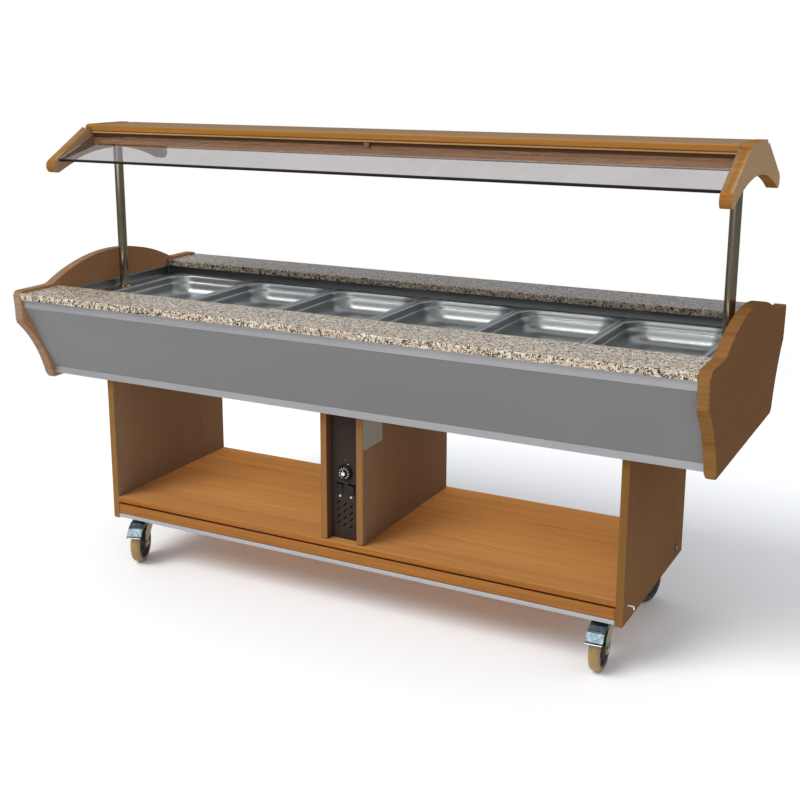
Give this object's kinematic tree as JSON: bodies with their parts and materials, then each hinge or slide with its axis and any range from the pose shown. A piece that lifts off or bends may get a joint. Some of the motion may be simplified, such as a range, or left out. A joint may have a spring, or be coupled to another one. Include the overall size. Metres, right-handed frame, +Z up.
{
  "type": "steam table unit",
  "caption": "Mobile steam table: gastronorm pans in a stone-edged hot well between shaped wooden end panels, on braked castors, under a glazed canopy on posts.",
  "frame": {"origin": "on the floor, under the middle of the table", "axes": "+X along the table to the right as seen from the control side, +Y towards the rear, +Z up; the controls face -Y"},
  "size_m": [2.15, 0.906, 1.395],
  "materials": {
    "wood_face": "satin brown oak veneer, seen on the large faces",
    "wood_edge": "satin honey oak with fine streaks, on edges, shelf and canopy board",
    "granite": "polished speckled granite, cream and pink with dark grains",
    "fascia_grey": "satin mid grey",
    "aluminium": "satin anodised",
    "stainless": "smooth satin",
    "polished_steel": "polished",
    "element_steel": "heat-toned tube",
    "glass": "clear, slight grey tint",
    "dark_panel": "dark brown, satin",
    "black_plastic": "satin black",
    "zinc": "bright zinc plate with a faint yellow cast",
    "tyre": "dark grey",
    "brass": "satin",
    "white_paint": "white enamel"
  },
  "bodies": {
    "table": {"base_frame": "aluminium", "body_floor_board": "wood_face", "cable_gland": "black_plastic", "canopy_light": "white_paint", "canopy_top_board": "wood_edge", "castor_front_left_mount": "zinc", "castor_front_right_mount": "zinc", "castor_rear_left_mount": "zinc", "castor_rear_right_mount": "zinc", "control_box": "zinc", "control_panel": "dark_panel", "drain_valve": "brass", "front_apron": "wood_edge", "front_bottom_rail": "aluminium", "front_fascia_panel": "fascia_grey", "front_glass_pane": "glass", "front_granite_slab": "granite", "front_top_rail": "aluminium", "front_valance": "wood_edge", "heating_element": "element_steel", "left_canopy_bracket": "wood_face", "left_end_panel": "wood_face", "left_leg_panel": "wood_face", "left_partition": "wood_face", "left_post": "polished_steel", "lower_shelf": "wood_edge", "rear_apron": "wood_edge", "rear_bottom_rail": "aluminium", "rear_fascia_panel": "fascia_grey", "rear_glass_pane": "glass", "rear_granite_slab": "granite", "rear_top_rail": "aluminium", "rear_valance": "wood_edge", "right_canopy_bracket": "wood_face", "right_end_panel": "wood_face", "right_leg_panel": "wood_face", "right_partition": "wood_face", "right_post": "polished_steel", "well_cross_bar": "stainless", "well_tank": "stainless"},
    "castor_front_left_fork": {"castor_front_left_fork": "zinc"},
    "castor_front_left_wheel": {"castor_front_left_wheel": "tyre"},
    "castor_front_left_pedal": {"castor_front_left_pedal": "zinc"},
    "castor_front_right_fork": {"castor_front_right_fork": "zinc"},
    "castor_front_right_wheel": {"castor_front_right_wheel": "tyre"},
    "castor_front_right_pedal": {"castor_front_right_pedal": "zinc"},
    "castor_rear_left_fork": {"castor_rear_left_fork": "zinc"},
    "castor_rear_left_wheel": {"castor_rear_left_wheel": "tyre"},
    "castor_rear_right_fork": {"castor_rear_right_fork": "zinc"},
    "castor_rear_right_wheel": {"castor_rear_right_wheel": "tyre"},
    "gn_pan_1": {"gn_pan_1": "stainless"},
    "gn_pan_2": {"gn_pan_2": "stainless"},
    "gn_pan_3": {"gn_pan_3": "stainless"},
    "gn_pan_4": {"gn_pan_4": "stainless"},
    "gn_pan_5": {"gn_pan_5": "stainless"},
    "gn_pan_6": {"gn_pan_6": "stainless"},
    "thermostat_knob": {"thermostat_knob": "black_plastic"},
    "heater_switch": {"heater_switch": "black_plastic"},
    "light_switch": {"light_switch": "black_plastic"},
    "drain_lever": {"drain_lever": "black_plastic"}
  },
  "joints": [
    {"name": "front_left_swivel", "type": "hinge", "parent": "table", "child": "castor_front_left_fork", "pos_m": [-0.783, -0.232, 0.134], "axis": [0, 0, 1], "continuous": true},
    {"name": "front_left_roll", "type": "hinge", "parent": "castor_front_left_fork", "child": "castor_front_left_wheel", "pos_m": [-0.76932, -0.26959, 0.0625], "axis": [0.9397, 0.342, 0], "continuous": true},
    {"name": "front_left_brake", "type": "hinge", "parent": "castor_front_left_fork", "child": "castor_front_left_pedal", "pos_m": [-0.77548, -0.25267, 0.13], "axis": [0.9397, 0.342, 0], "range_deg": [0, 8]},
    {"name": "front_right_swivel", "type": "hinge", "parent": "table", "child": "castor_front_right_fork", "pos_m": [0.783, -0.232, 0.134], "axis": [0, 0, 1], "continuous": true},
    {"name": "front_right_roll", "type": "hinge", "parent": "castor_front_right_fork", "child": "castor_front_right_wheel", "pos_m": [0.78509, -0.27195, 0.0625], "axis": [0.9986, 0.0523, 0], "continuous": true},
    {"name": "front_right_brake", "type": "hinge", "parent": "castor_front_right_fork", "child": "castor_front_right_pedal", "pos_m": [0.78415, -0.25397, 0.13], "axis": [0.9986, 0.0523, 0], "range_deg": [0, 8]},
    {"name": "rear_left_swivel", "type": "hinge", "parent": "table", "child": "castor_rear_left_fork", "pos_m": [-0.783, 0.252, 0.134], "axis": [0, 0, 1], "continuous": true},
    {"name": "rear_left_roll", "type": "hinge", "parent": "castor_rear_left_fork", "child": "castor_rear_left_wheel", "pos_m": [-0.77468, 0.21287, 0.0625], "axis": [0.9781, 0.2079, 0], "continuous": true},
    {"name": "rear_right_swivel", "type": "hinge", "parent": "table", "child": "castor_rear_right_fork", "pos_m": [0.783, 0.252, 0.134], "axis": [0, 0, 1], "continuous": true},
    {"name": "rear_right_roll", "type": "hinge", "parent": "castor_rear_right_fork", "child": "castor_rear_right_wheel", "pos_m": [0.77265, 0.21336, 0.0625], "axis": [0.9659, -0.2588, 0], "continuous": true},
    {"name": "pan_1_lift", "type": "slide", "parent": "table", "child": "gn_pan_1", "axis": [0, 0, 1], "range_m": [0, 0.2]},
    {"name": "pan_2_lift", "type": "slide", "parent": "table", "child": "gn_pan_2", "axis": [0, 0, 1], "range_m": [0, 0.2]},
    {"name": "pan_3_lift", "type": "slide", "parent": "table", "child": "gn_pan_3", "axis": [0, 0, 1], "range_m": [0, 0.2]},
    {"name": "pan_4_lift", "type": "slide", "parent": "table", "child": "gn_pan_4", "axis": [0, 0, 1], "range_m": [0, 0.2]},
    {"name": "pan_5_lift", "type": "slide", "parent": "table", "child": "gn_pan_5", "axis": [0, 0, 1], "range_m": [0, 0.2]},
    {"name": "pan_6_lift", "type": "slide", "parent": "table", "child": "gn_pan_6", "axis": [0, 0, 1], "range_m": [0, 0.2]},
    {"name": "thermostat_turn", "type": "hinge", "parent": "table", "child": "thermostat_knob", "pos_m": [0, -0.2623, 0.426], "axis": [0, 1, 0], "range_deg": [0, 300]},
    {"name": "heater_rocker", "type": "hinge", "parent": "table", "child": "heater_switch", "pos_m": [-0.0185, -0.26, 0.377], "axis": [-1, 0, 0], "range_deg": [0, 20]},
    {"name": "light_rocker", "type": "hinge", "parent": "table", "child": "light_switch", "pos_m": [0.0185, -0.26, 0.377], "axis": [-1, 0, 0], "range_deg": [0, 20]},
    {"name": "drain_turn", "type": "hinge", "parent": "table", "child": "drain_lever", "pos_m": [0, 0.1783, 0.584], "axis": [0, 1, 0], "range_deg": [0, 90]}
  ]
}
